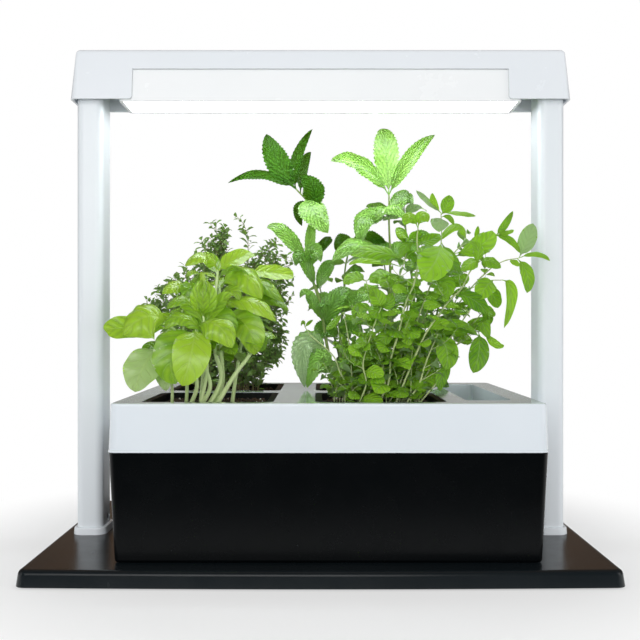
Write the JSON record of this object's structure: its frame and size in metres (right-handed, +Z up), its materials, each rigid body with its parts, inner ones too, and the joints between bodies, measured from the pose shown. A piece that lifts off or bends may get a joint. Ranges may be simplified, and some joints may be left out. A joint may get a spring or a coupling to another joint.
{
  "type": "indoor herb planter",
  "caption": "Indoor herb planter: a self-watering trough of square pots stands under a slim grow lamp on a posted arch over a black plinth.",
  "frame": {"origin": "on the table under the middle of the plinth", "axes": "+Z up, -Y towards the front with the notched side of the hood, +X to the right of someone facing that front"},
  "size_m": [0.5996, 0.3664, 0.5749],
  "materials": {
    "black_abs": "moulded, satin",
    "white_abs": "moulded, soft gloss",
    "white_tube": "extruded, satin",
    "nylon": "moulded",
    "rubber_feet": "matt",
    "zinc_screws": "zinc plated",
    "opal_sheet": "opal, glowing",
    "folded_aluminium": "mill finish",
    "board_white": "solder mask",
    "led_yellow": "phosphor",
    "black_fittings": "moulded",
    "lead_jacket": "extruded jacket",
    "pot_plastic": "moulded, thin-walled",
    "potting_soil": "crumbly peat mix",
    "wick_felt": "pressed felt",
    "basil_foliage": "living leaves, glossy and cupped",
    "oregano_foliage": "living leaves, small and soft",
    "mint_foliage": "living leaves, crinkled and toothed",
    "thyme_foliage": "living sprigs"
  },
  "bodies": {
    "frame": {"base_plinth": "black_abs", "dc_inlet": "black_fittings", "diffuser": "opal_sheet", "foot_collar_left": "white_abs", "foot_collar_right": "white_abs", "foot_screws": "zinc_screws", "heat_spreader": "folded_aluminium", "hood_screws": "zinc_screws", "hood_shell": "white_abs", "internal_lead": "lead_jacket", "lamp_housing": "white_abs", "lamp_screws": "zinc_screws", "led_boards": "board_white", "led_chips": "led_yellow", "led_driver": "black_fittings", "plinth_feet": "rubber_feet", "post_foot_plugs": "nylon", "post_head_plugs": "nylon", "post_left": "white_tube", "post_right": "white_tube", "screw_caps": "white_abs", "switch_frame": "black_fittings"},
    "switch_rocker": {"switch_rocker": "black_fittings"},
    "planter": {"reservoir": "black_abs"},
    "tray": {"top_tray": "white_abs"},
    "pot_front_left": {"pot_front_left": "pot_plastic", "soil_front_left": "potting_soil", "wick_front_left": "wick_felt", "basil_plant": "basil_foliage"},
    "pot_back_left": {"pot_back_left": "pot_plastic", "soil_back_left": "potting_soil", "wick_back_left": "wick_felt", "thyme_plant": "thyme_foliage"},
    "pot_front_right": {"pot_front_right": "pot_plastic", "soil_front_right": "potting_soil", "wick_front_right": "wick_felt", "oregano_plant": "oregano_foliage"},
    "pot_back_right": {"pot_back_right": "pot_plastic", "soil_back_right": "potting_soil", "wick_back_right": "wick_felt", "mint_plant": "mint_foliage"}
  },
  "joints": [
    {"name": "rocker_tilt", "type": "hinge", "parent": "frame", "child": "switch_rocker", "pos_m": [0.2, 0, 0.5702], "axis": [0, 1, 0], "range_deg": [-14, 0]},
    {"name": "planter_slide", "type": "slide", "parent": "frame", "child": "planter", "axis": [0, -1, 0], "range_m": [0, 0.37]},
    {"name": "tray_lift", "type": "slide", "parent": "planter", "child": "tray", "axis": [0, 0, 1], "range_m": [0, 0.115]},
    {"name": "pot_front_left_lift", "type": "slide", "parent": "tray", "child": "pot_front_left", "axis": [0, 0, 1], "range_m": [0, 0.15]},
    {"name": "pot_back_left_lift", "type": "slide", "parent": "tray", "child": "pot_back_left", "axis": [0, 0, 1], "range_m": [0, 0.15]},
    {"name": "pot_front_right_lift", "type": "slide", "parent": "tray", "child": "pot_front_right", "axis": [0, 0, 1], "range_m": [0, 0.15]},
    {"name": "pot_back_right_lift", "type": "slide", "parent": "tray", "child": "pot_back_right", "axis": [0, 0, 1], "range_m": [0, 0.15]}
  ]
}
